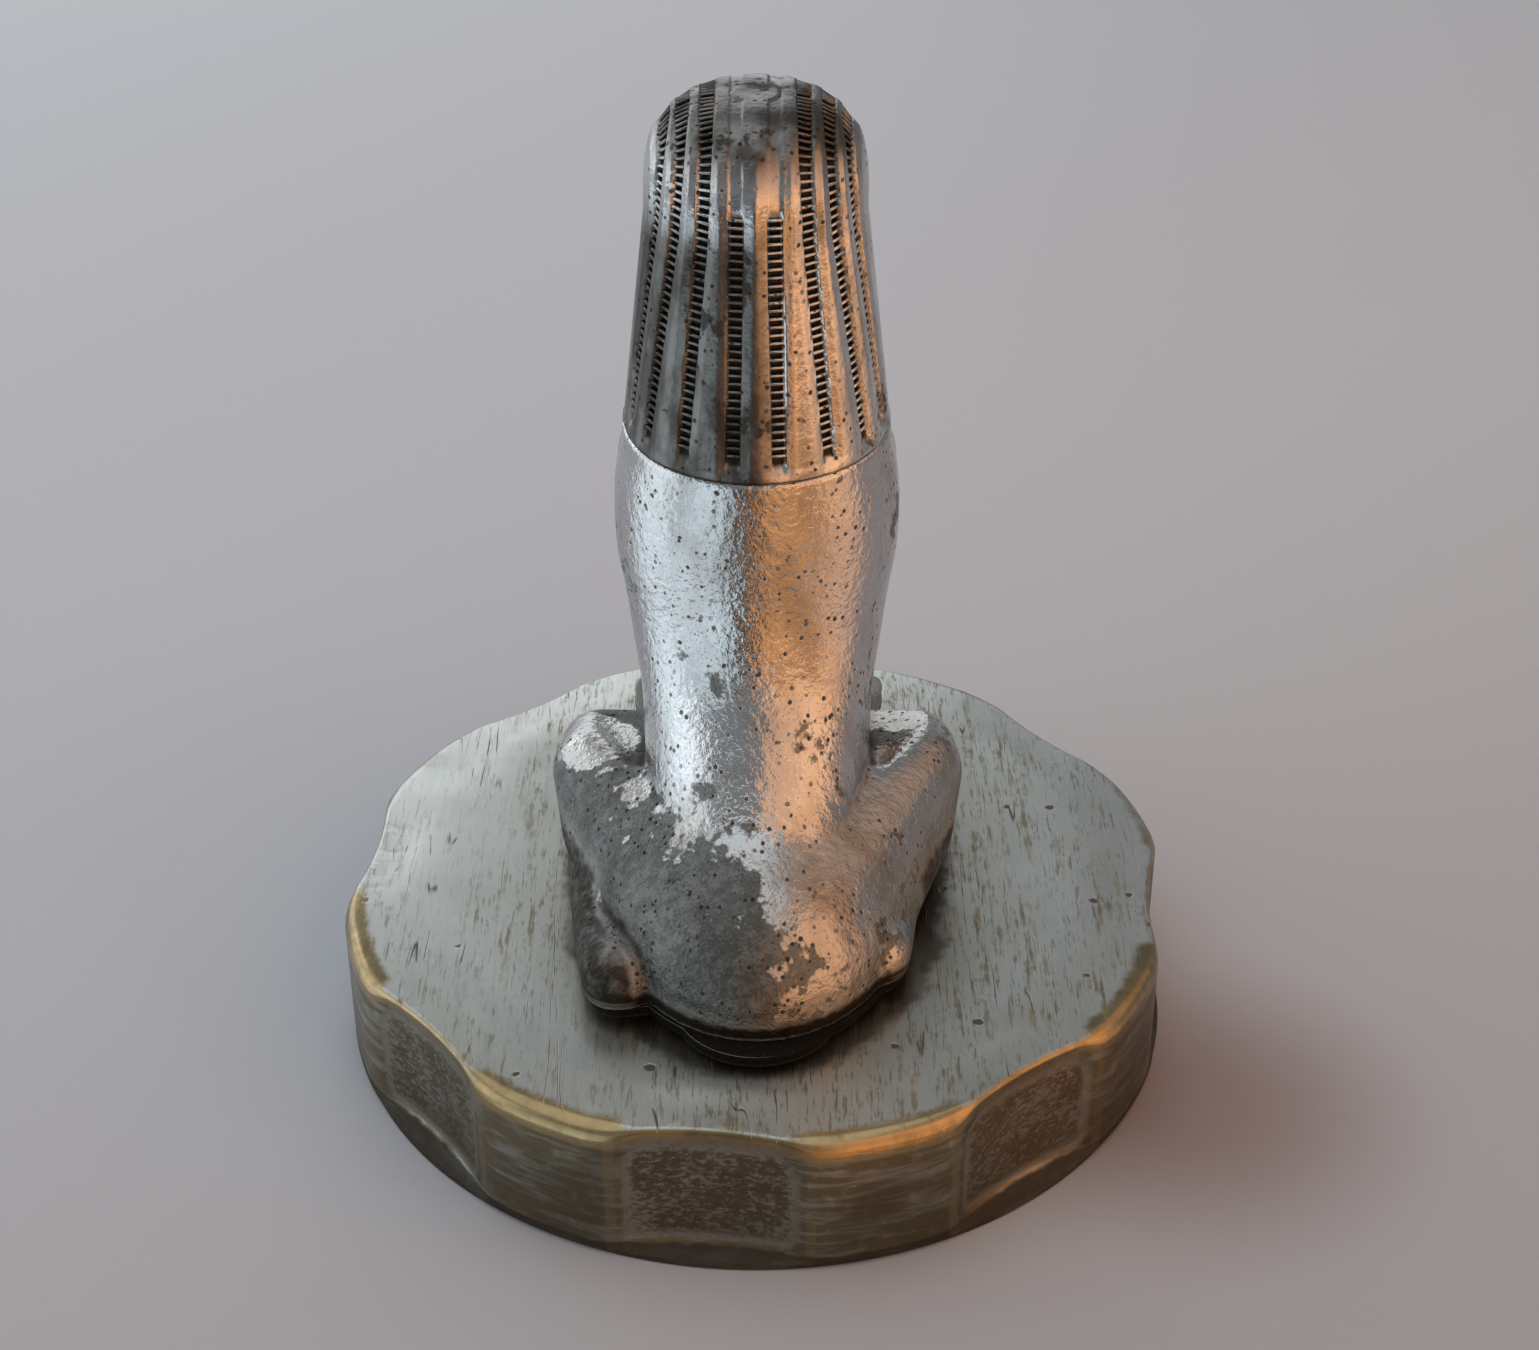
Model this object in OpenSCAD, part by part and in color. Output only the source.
// Radiator cap mascot: a seated figure with a plaited headdress on a scalloped screw cap.
// The origin is the middle of the cap's lower rim. The figure faces -Y, and +Z is up.

/* [Cap] */
// Diameter across the lobes of the cap
cap_d = 76; // [72:1:90]
// Height of the cap
cap_h = 14; // [13:0.5:18]
// Thickness of the cap's roof
cap_roof = 2.2; // [1.8:0.1:3]
// Radius of the rolled edge round the top
cap_edge_r = 1.4; // [0.8:0.1:2]
// Fall of the top from its flat seat to the rolled edge
cap_fall = 0.4; // [0.1:0.1:0.8]
// Diameter of the flat seat in the middle of the top
seat_d = 62; // [61.5:0.5:66]
// Number of finger scallops round the rim
scallop_n = 8; // [6:1:10]
// Width of a scallop from ridge to ridge
scallop_w = 17; // [12:0.5:19]
// Depth of a scallop at its middle
scallop_depth = 2; // [1.5:0.1:3]
// Turn of the nearest scallop away from the figure's back
scallop_turn = 6; // [0:1:22]
// Chamfer round the lower rim
foot_chamfer = 0.6; // [0.3:0.1:1.2]

/* [Neck thread and gasket] */
// Largest diameter of the thread that screws onto the radiator's neck
neck_d = 60; // [56:0.5:62]
// Pitch of the neck thread
neck_pitch = 1.5; // [1:0.1:1.5]
// Number of thread crests
neck_crests = 4; // [3:1:4]
// Height of the lead-in cone below the first crest
neck_lead = 0.7; // [0.5:0.1:1.2]
// Thickness of the cork gasket that the neck presses on
gasket_t = 2; // [1:0.1:2.4]
// Width of the gasket's ring
gasket_w = 7; // [5:0.5:9]
// Play round the gasket in its groove
gasket_play = 0.3; // [0.1:0.1:0.6]
// Thickness of the dished disc that holds the gasket up
baffle_t = 0.4; // [0.3:0.1:0.8]
// Diameter of the disc's middle, which lies against the roof
baffle_hub_d = 28; // [22:1:32]
// Overlap of the disc's flange under the gasket
baffle_lap = 2; // [1:0.5:3]

/* [Stud, nut and washers] */
// Diameter of the stud
stud_d = 6; // [5:0.5:7]
// Pitch of the stud's thread
stud_pitch = 1; // [0.8:0.1:1.2]
// Length of stud screwed into the figure's boss
stud_grip = 11; // [8:0.5:13]
// Length of stud past the nut
stud_tail = 0.3; // [0.1:0.1:0.4]
// Height of the nut
nut_h = 3; // [2.4:0.1:3.4]
// Width of the nut across its flats
nut_af = 10; // [9:0.5:12]
// Thickness of the spring washer
lock_t = 1; // [0.6:0.1:1.2]
// Thickness of the plain washer
washer_t = 0.6; // [0.4:0.1:1]
// Thickness of the fibre washer that seals the stud's hole
fibre_t = 0.8; // [0.5:0.1:1.2]
// Width of the fibre washer's ring
fibre_w = 4.3; // [3:0.1:5]
// Width of the plain washer's ring
washer_w = 3.8; // [3:0.1:5]
// Width of the spring washer's ring
lock_w = 1.8; // [1.4:0.1:2.4]

/* [Base plate] */
// Thickness of the plate that closes the hollow figure
plate_t = 0.8; // [0.6:0.1:1.2]
// Thickness of the paper gasket under the plate
seat_gasket_t = 0.5; // [0.3:0.1:0.8]
// How far the plate shows past the rump
plate_margin = 0.1; // [0:0.1:0.6]
// How far the plate stays inside the feet
foot_cover = 0.8; // [0.3:0.1:1.2]
// Reach of the plate's tongue past the rump
tongue_reach = 1.8; // [1:0.1:3.4]
// Radius of the tongue
tongue_r = 7; // [6:0.5:10]

/* [Figure body] */
// Height of the body from the plate to the headdress
body_h = 42.2; // [38:0.2:50]
// Width of the rump between the feet
rump_w = 27; // [25:0.2:29]
// Length of the rump's egg from front to back
rump_l = 37.6; // [35:0.2:39]
// Height of the rump's egg above the plate
rump_h = 13.5; // [11:0.5:14.5]
// Width of the waist
waist_w = 20.6; // [19:0.2:23]
// Width across the shoulders
shoulder_w = 25; // [23:0.2:28]
// Depth of the chest from front to back
chest_l = 24.4; // [23:0.2:26]
// Width across both haunches
haunch_w = 37.6; // [35:0.2:39]
// Height of the haunches above the plate
haunch_h = 11.6; // [10:0.2:14]
// Radius of a knee
knee_r = 4.4; // [3.8:0.1:4.8]
// Width of a hind foot
hind_foot_w = 6.8; // [5:0.2:7]
// How much further in the right heel is tucked than the left one
heel_tuck = 1.6; // [0:0.2:2]
// Width of a fore paw
paw_w = 7; // [6:0.2:7.6]
// Reach of the fore paws in front of the middle
paw_reach = 28; // [26:0.2:28.4]
// Width of a foreleg at the shoulder
foreleg_w = 9; // [7:0.2:10]
// Thickness of the casting's wall
cast_wall = 2.6; // [2:0.1:3.2]
// Diameter of the boss that takes the stud
boss_d = 12; // [10:0.5:13]

/* [Head and headdress] */
// Height of the headdress
headdress_h = 29; // [27:0.5:33]
// Width of the headdress at its rim
rim_w = 22.4; // [21:0.2:23]
// Width of the headdress where its dome starts
dome_w = 18; // [17:0.2:19]
// Height of the dome
dome_h = 9.5; // [8:0.5:12]
// How much deeper the head is than wide
head_extra_l = 1.4; // [0.8:0.1:2.4]
// Thickness of the headdress
headdress_wall = 1.5; // [1.2:0.1:2]
// Clearance between the headdress and the head inside it
headdress_gap = 0.1; // [0.05:0.05:0.3]
// Width of a groove between two plaits
groove_w = 1.2; // [0.8:0.1:1.6]
// Depth of a groove
groove_depth = 0.5; // [0.2:0.1:0.7]
// Width of the opening for the face
face_w = 13.6; // [12:0.2:15]
// Height of the face from chin to fringe
face_h = 21.5; // [19:0.5:23]

/* [Hidden] */

$fn = 96;

// Running clearance of the stud in the cap, and the clearances of what slips over or screws on the stud.
stud_play = 0.05;
washer_play = 0.2;
thread_play = 0.08;
boss_play = 0.08;

// How far the paper gasket stays inside the plate's edge.
gasket_inset = 0.4;

// Heights up the stack, from the cap's roof down and from its top up.
roof_z = cap_h - cap_roof;
baffle_z = roof_z - baffle_t;
fibre_z = baffle_z - fibre_t;
washer_z = fibre_z - washer_t;
lock_z = washer_z - lock_t;
nut_z = lock_z - nut_h;
stud_end_z = nut_z - stud_tail;
gasket_z = roof_z - gasket_t;
plate_z = cap_h + seat_gasket_t;
body_z = plate_z + plate_t;
rim_z = body_z + body_h;
crown_z = rim_z + headdress_h;
dome_z = crown_z - dome_h;

cap_r = cap_d / 2;
stud_r = stud_d / 2;
neck_r = neck_d / 2;

// Sharp thread depths of a 60 degree thread, cut by its flats.
neck_depth = 0.5413 * neck_pitch;
stud_depth = 0.6134 * stud_pitch;
neck_crest_r = neck_r - neck_depth;
neck_relief_r = neck_r + gasket_play;
gasket_r = neck_relief_r - gasket_play;
gasket_in_r = gasket_r - gasket_w;
baffle_r = gasket_in_r + baffle_lap;

// The figure's middle: its head and chest stand a little ahead of the stud.
head_y = -5.5;
rump_y = 8;
rump_back = rump_y + rump_l / 2;

// Height of the rump's fullest level above the plate.
rump_low = 1.7;

// Shares of body_h at which the body's sections lie.
waist_at = 0.42;
elbow_at = 0.69;
shoulder_at = 0.82;

// Sections of the body from the plate up: height, middle in Y, half width, half depth.
body_sections = [
    [body_z, head_y + 5.5, waist_w / 2 - 0.8, chest_l / 2 + 5.3],
    [body_z + 0.15 * body_h, head_y + 5.2, waist_w / 2 - 0.6, chest_l / 2 + 5.5],
    [body_z + 0.23 * body_h, head_y + 4.6, waist_w / 2 - 0.4, chest_l / 2 + 4.4],
    [body_z + 0.31 * body_h, head_y + 3.6, waist_w / 2 - 0.2, chest_l / 2 + 3.1],
    [body_z + waist_at * body_h, head_y + 2.4, waist_w / 2, chest_l / 2 + 1.8],
    [body_z + 0.52 * body_h, head_y + 1, waist_w / 2 + 0.7, chest_l / 2 + 0.7],
    [body_z + 0.62 * body_h, head_y + 0.3, waist_w / 2 + 1.3, chest_l / 2 + 0.1],
    [body_z + 0.72 * body_h, head_y, shoulder_w / 2 - 0.2, chest_l / 2],
    [body_z + shoulder_at * body_h, head_y, shoulder_w / 2 - 0.1, chest_l / 2],
    [body_z + 0.89 * body_h, head_y, shoulder_w / 2 - 0.3, chest_l / 2],
    [body_z + 0.96 * body_h, head_y, rim_w / 2 + 0.4, rim_w / 2 + head_extra_l / 2 + 0.2],
    [rim_z, head_y, rim_w / 2 + 0.3, rim_w / 2 + head_extra_l / 2 + 0.1]
];
sections_per_span = 2;

// Half width of the headdress at a height, less an inset: a taper, then a squarish dome.
squareness = 3.3;
function taper_r(z) = (dome_w + (rim_w - dome_w) * (dome_z - z) / (dome_z - rim_z)) / 2;
function head_r(z, inset) =
    let (top = crown_z - inset, start = min(dome_z, top - 1), t = (z - start) / (top - start))
    z <= start ? taper_r(z) - inset : (taper_r(start) - inset) * pow(max(0, 1 - pow(t, squareness)), 1 / squareness);
function head_section(z, inset) =
    let (r = head_r(z, inset)) [z, head_y, r, r * (1 + head_extra_l / dome_w)];
dome_steps = 9;
function head_sections(inset, from) =
    let (top = crown_z - inset)
    concat(
        [for (i = [0:4]) head_section(from + (dome_z - from) * i / 5, inset)],
        [for (i = [0:dome_steps]) head_section(dome_z + (top - dome_z) * sin(90 * i / dome_steps) * 0.999, inset)]
    );

// A value on the smooth curve through four neighbours, at share t between the middle two.
function smooth_step(a, b, c, d, t) =
    0.5 * (2 * b + (c - a) * t + (2 * a - 5 * b + 4 * c - d) * t * t + (3 * b - a - 3 * c + d) * t * t * t);
function refined(s, n) = [
    for (i = [0:len(s) - 2], j = [0:n - 1])
        smooth_step(s[max(0, i - 1)], s[i], s[i + 1], s[min(len(s) - 1, i + 2)], j / n),
    s[len(s) - 1]
];

// A closed loft through level elliptical sections.
module loft(sections, sides) {
    n = len(sections);
    points = [
        for (s = sections, k = [0:sides - 1]) [s[2] * cos(360 * k / sides), s[1] + s[3] * sin(360 * k / sides), s[0]]
    ];
    walls = [
        for (i = [0:n - 2], k = [0:sides - 1])
            let (a = i * sides + k, b = i * sides + (k + 1) % sides)
            each [[a, a + sides, b], [b, a + sides, b + sides]]
    ];
    floor_face = [[for (k = [0:sides - 1]) k]];
    top_face = [[for (k = [sides - 1:-1:0]) (n - 1) * sides + k]];
    polyhedron(concat(points), concat(walls, floor_face, top_face), convexity = 6);
}

module both_sides() {
    children();
    mirror([1, 0, 0]) children();
}

module ball(x, y, z, r, squash = 1) {
    translate([x, y, z]) scale([1, 1, squash]) sphere(r, $fn = 22);
}

// A ring turned round the Z axis, from an inner to an outer radius.
module ring(r_in, r_out, z, h) {
    translate([0, 0, z]) rotate_extrude() translate([r_in, 0]) square([r_out - r_in, h]);
}

// Points of the hollow's wall, from the mouth up: a lead-in cone, flat thread crests with V grooves
// between them, then a relief as high as the roof for the gasket.
function neck_points() =
    let (crest = neck_pitch / 4, flank = neck_depth * tan(30))
    concat(
        [[0, -1], [neck_relief_r, -1], [neck_relief_r, 0]],
        [
            for (i = [0:neck_crests - 1])
                let (z = neck_lead + i * neck_pitch)
                each concat(
                    [[neck_crest_r, z], [neck_crest_r, z + crest], [neck_r, z + crest + flank]],
                    i < neck_crests - 1 ? [[neck_r, z + neck_pitch - flank]] : []
                )
        ],
        [[neck_relief_r, neck_lead + (neck_crests - 0.5) * neck_pitch], [neck_relief_r, roof_z], [0, roof_z]]
    );

// Points of the stud's thread from one height up, as rings with flat crests, with room all round for a nut.
function stud_points(z0, turns, grow) =
    let (flank = stud_depth * tan(30), crest = stud_pitch / 8)
    concat(
        [[0, z0], [stud_r - stud_depth + grow, z0]],
        [
            for (i = [0:turns - 1])
                let (z = z0 + (i + 0.5) * stud_pitch, w = crest / 2 + grow * tan(30))
                each [
                    [stud_r - stud_depth + grow, z - w - flank], [stud_r + grow, z - w],
                    [stud_r + grow, z + w], [stud_r - stud_depth + grow, z + w + flank]
                ]
        ],
        [[stud_r - stud_depth + grow, z0 + turns * stud_pitch], [0, z0 + turns * stud_pitch]]
    );

module scallop_cutters() {
    half = scallop_w / 2;
    sag = sqrt(cap_r * cap_r - half * half) - (cap_r - scallop_depth);
    r = (half * half + sag * sag) / (2 * sag);
    for (i = [0:scallop_n - 1])
        rotate([0, 0, 90 - scallop_turn + 360 * i / scallop_n])
            translate([cap_r - scallop_depth + r, 0, -1]) cylinder(r = r, h = cap_h + 2);
}

module cap_shell() {
    edge_z = cap_h - cap_fall;
    arc = [for (a = [90:-10:0]) [cap_r - cap_edge_r + cap_edge_r * cos(a), edge_z - cap_edge_r + cap_edge_r * sin(a)]];
    color("lightsteelblue")
    difference() {
        rotate_extrude() polygon(concat(
            [[0, 0], [0, cap_h], [seat_d / 2, cap_h]], arc, [[cap_r, foot_chamfer], [cap_r - foot_chamfer, 0]]
        ));
        scallop_cutters();
        rotate_extrude() polygon(neck_points());
        cylinder(r = stud_r + stud_play, h = cap_h + 1);
    }
}

module neck_gasket() {
    color("tan") ring(gasket_in_r, gasket_r, gasket_z, gasket_t);
}

module baffle_disc() {
    hub_r = baffle_hub_d / 2;
    drop = gasket_t;
    lean = drop;
    color("goldenrod")
    rotate_extrude() polygon([
        [stud_r + washer_play, roof_z], [hub_r, roof_z], [hub_r + lean, roof_z - drop], [baffle_r, roof_z - drop],
        [baffle_r, roof_z - drop - baffle_t], [hub_r + lean - baffle_t, roof_z - drop - baffle_t],
        [hub_r - baffle_t, baffle_z], [stud_r + washer_play, baffle_z]
    ]);
}

// Outline of the plate less an inset: a margin past the rump, within the feet, and a tongue at the back.
module plate_outline(inset) {
    under_foot = foot_cover + inset;
    steps = 72;
    polygon([
        for (i = [0:steps - 1])
            [(rump_w / 2 + plate_margin - inset) * cos(360 * i / steps),
             rump_y + (rump_l / 2 + plate_margin - inset) * sin(360 * i / steps)]
    ]);
    hull() {
        translate([heel_x, heel_y]) circle(hind_foot_w / 2 - under_foot, $fn = 48);
        translate([heel_tuck - heel_x, heel_y - 2 * heel_tuck]) circle(hind_foot_w / 2 - under_foot, $fn = 48);
        both_sides() {
            translate([toe_x, toe_y]) circle(hind_foot_w / 2 - under_foot, $fn = 48);
            translate([paw_x, paw_y]) circle(paw_w / 2 - under_foot, $fn = 48);
        }
    }
    translate([0, rump_back + tongue_reach - tongue_r - inset]) circle(tongue_r);
}

module seat_gasket() {
    color("dimgray")
    difference() {
        translate([0, 0, cap_h]) linear_extrude(seat_gasket_t) plate_outline(gasket_inset);
        cylinder(r = stud_r + washer_play, h = plate_z + 1);
    }
}

module base_plate() {
    color("silver")
    difference() {
        translate([0, 0, plate_z]) linear_extrude(plate_t) plate_outline(0);
        cylinder(r = stud_r + washer_play, h = body_z + 1);
    }
}

// Places of the limbs, from the sizes of the rump, the haunches and the feet.
heel_x = haunch_w / 2 - 7;
heel_y = rump_back - 7.2;
toe_x = haunch_w / 2 - hind_foot_w / 2 - 0.3;
toe_y = -10.5;
paw_x = shoulder_w / 2 - paw_w / 2;
paw_y = paw_w / 2 - paw_reach;
foot_top = 4.2;

// Both thighs and the rump as one mass: a skin over two knees and an egg.
module seat_mass() {
    x = haunch_w / 2;
    z = body_z + haunch_h;
    hull() {
        translate([0, rump_y, body_z + rump_low]) scale([rump_w, rump_l, 2 * (rump_h - rump_low)] / 2)
            sphere(1, $fn = 56);
        both_sides() {
            ball(x - knee_r, rump_y - 11.4, z - knee_r, knee_r);
            ball(x - knee_r - 0.3, rump_y - 14.8, z - knee_r - 0.6, knee_r);
            ball(x - knee_r - 4.2, rump_y - 17.6, z - 1.6 * knee_r, knee_r - 0.4);
            ball(x - knee_r - 0.8, rump_y - 7, z - knee_r - 3.5, knee_r - 0.2);
        }
    }
}

module hind_foot(tuck = 0) {
    r = hind_foot_w / 2;
    hull() {
        ball(heel_x - tuck, heel_y - 2 * tuck, body_z + 1.4, r);
        ball(heel_x + 1.6 - 1.2 * tuck, heel_y - 6 - 2 * tuck, body_z + 1, r * 0.8);
    }
    hull() {
        ball(heel_x + 1.6 - 1.2 * tuck, heel_y - 6 - 2 * tuck, body_z + 1, r * 0.8);
        ball(toe_x, toe_y + 4, body_z + 0.8, r * 0.9);
        ball(toe_x, toe_y, body_z + 0.4, r, 1.1);
    }
}

module foreleg() {
    r = foreleg_w / 2;
    elbow_z = body_z + body_h * elbow_at;
    front = head_y - chest_l / 2;
    hull() {
        ball(shoulder_w / 2 - r, front + r + 3.4, elbow_z + 8, r);
        ball(shoulder_w / 2 - r, front + r + 2, elbow_z + 2, r);
    }
    hull() {
        ball(shoulder_w / 2 - r - 0.6, front + r + 1, elbow_z + 1, r * 0.96);
        ball(waist_w / 2 - r * 0.8, front + r * 0.8 - 1, body_z + 0.4 * body_h, r * 0.8);
    }
    hull() {
        ball(waist_w / 2 - r * 0.8, front + r * 0.8 - 1, body_z + 0.4 * body_h, r * 0.8);
        ball(paw_x - 1, paw_y + 5.6, body_z + foot_top, paw_w / 2 - 0.2);
    }
    hull() {
        ball(paw_x - 1, paw_y + 5.6, body_z + foot_top, paw_w / 2 - 0.2);
        ball(paw_x, paw_y, body_z + 1.2, paw_w / 2);
    }
}

// The face: a plain oval with a brow, a straight nose, lips and a chin on even thirds.
module face() {
    chin = rim_z + 1.4;
    third = face_h * 0.95 / 3;
    front = head_y - head_r(rim_z + face_h / 2, headdress_wall) * (1 + head_extra_l / dome_w) - 0.9;
    half = face_w / 2;
    hull() {
        ball(0, front + half * 0.82, chin + 2.05 * third, half * 0.8);
        ball(0, front + half * 0.86, chin + 1.3 * third, half * 0.84);
        ball(0, front + 3.6, chin + 2.6, 3);
    }
    hull() {
        ball(0, front + 1.3, chin + 2.05 * third, 1);
        ball(0, front - 0.5, chin + 1.12 * third, 1);
    }
    hull() both_sides() ball(1.4, front + 1.1, chin + 0.72 * third, 0.9);
    ball(0, front + 1.7, chin + 0.3 * third, 1.6);
}

module cavity_egg(y, w, l, h) {
    translate([0, y, body_z + rump_low]) scale([w, l, h]) sphere(1, $fn = 40);
}

// The hollow round the boss, open at the foot.
module body_cavity() {
    difference() {
        union() {
            cavity_egg(rump_y, rump_w / 2 - cast_wall, rump_l / 2 - cast_wall, rump_h - rump_low - cast_wall);
            cavity_egg(head_y, waist_w / 2 - 1.25 * cast_wall, chest_l / 2 - 0.2 - cast_wall, 0.27 * body_h);
        }
        translate([0, 0, body_z - 2 * rump_h]) cylinder(r = boss_d / 2, h = body_h + 2 * rump_h);
    }
}

module figure_body() {
    core_inset = headdress_wall + headdress_gap;
    color("silver")
    difference() {
        union() {
            loft(refined(body_sections, sections_per_span), 44);
            loft(head_sections(core_inset, rim_z - 1), 36);
            face();
            intersection() {
                union() {
                    seat_mass();
                    both_sides() foreleg();
                    hind_foot();
                    mirror([1, 0, 0]) hind_foot(heel_tuck);
                }
                translate([-cap_r, -cap_r, body_z]) cube([cap_d, cap_d, body_h]);
            }
        }
        body_cavity();
        translate([0, 0, body_z - 1]) cylinder(r = stud_r + boss_play, h = stud_grip + 2, $fn = 48);
    }
}

// Angles of the grooves from the back, on each side, at the rim and where the dome starts.
groove_angles = [[10, 10], [34, 29], [57, 47], [76, 65]];

module groove_blades() {
    both_sides() for (pair = groove_angles) {
        low = rim_w / 2 * sin(pair[0]);
        high = dome_w / 2 * sin(pair[1]);
        lean = atan((low - high) / (dome_z - rim_z));
        translate([low, head_y - rim_w, rim_z])
            rotate([0, -lean, 0])
                translate([-groove_w * cos(pair[1]) / 2, 0, 1])
                    cube([groove_w * cos(pair[1]), 2 * rim_w, headdress_h]);
    }
    translate([-rim_w, head_y - groove_w / 2, rim_z + 1]) cube([2 * rim_w, groove_w, dome_z - rim_z - 1]);
}

module headdress() {
    opening_r = 3;
    opening_reach = headdress_wall + groove_depth + 2;
    color("gray")
    difference() {
        union() {
            loft(head_sections(groove_depth, rim_z), 44);
            difference() {
                loft(head_sections(0, rim_z), 44);
                groove_blades();
            }
        }
        loft(head_sections(headdress_wall, rim_z - 1), 36);
        hull() for (x = [-1, 1], z = [rim_z - opening_r, rim_z + face_h - opening_r])
            translate([x * (face_w / 2 - opening_r + 0.6), head_y - opening_reach, z])
                rotate([90, 0, 0]) cylinder(r = opening_r, h = rim_w, $fn = 24);
    }
}

module mounting_stud() {
    turns = ceil((lock_z - stud_end_z) / stud_pitch - 0.01);
    shank_z = stud_end_z + turns * stud_pitch;
    grip_turns = floor(stud_grip / stud_pitch + 0.01) - 1;
    color("darkkhaki") {
        rotate_extrude() polygon(stud_points(stud_end_z, turns, 0));
        translate([0, 0, shank_z]) cylinder(r = stud_r, h = body_z - shank_z);
        rotate_extrude() polygon(stud_points(body_z, grip_turns, 0));
    }
}

module fibre_washer() {
    color("firebrick") ring(stud_r + washer_play, stud_r + washer_play + fibre_w, fibre_z, fibre_t);
}

module plain_washer() {
    color("gold") ring(stud_r + washer_play, stud_r + washer_play + washer_w, washer_z, washer_t);
}

module lock_washer() {
    gap_angle = 14;
    color("slategray")
    translate([0, 0, lock_z])
        rotate_extrude(angle = 360 - gap_angle) translate([stud_r + washer_play, 0]) square([lock_w, lock_t]);
}

module stud_nut() {
    corner_r = nut_af / 2 / cos(30);
    bevel = corner_r - nut_af / 2;
    turns = ceil((nut_h + 2) / stud_pitch) + 1;
    color("darkgoldenrod")
    difference() {
        intersection() {
            translate([0, 0, nut_z]) cylinder(r = corner_r, h = nut_h, $fn = 6);
            rotate_extrude() polygon([
                [0, nut_z], [nut_af / 2 - 0.2, nut_z], [corner_r, nut_z + bevel * 0.7],
                [corner_r, nut_z + nut_h], [0, nut_z + nut_h]
            ]);
        }
        rotate_extrude() polygon(stud_points(stud_end_z - stud_pitch, turns + 1, thread_play));
    }
}

cap_shell();
neck_gasket();
baffle_disc();
seat_gasket();
base_plate();
figure_body();
headdress();
mounting_stud();
fibre_washer();
plain_washer();
lock_washer();
stud_nut();
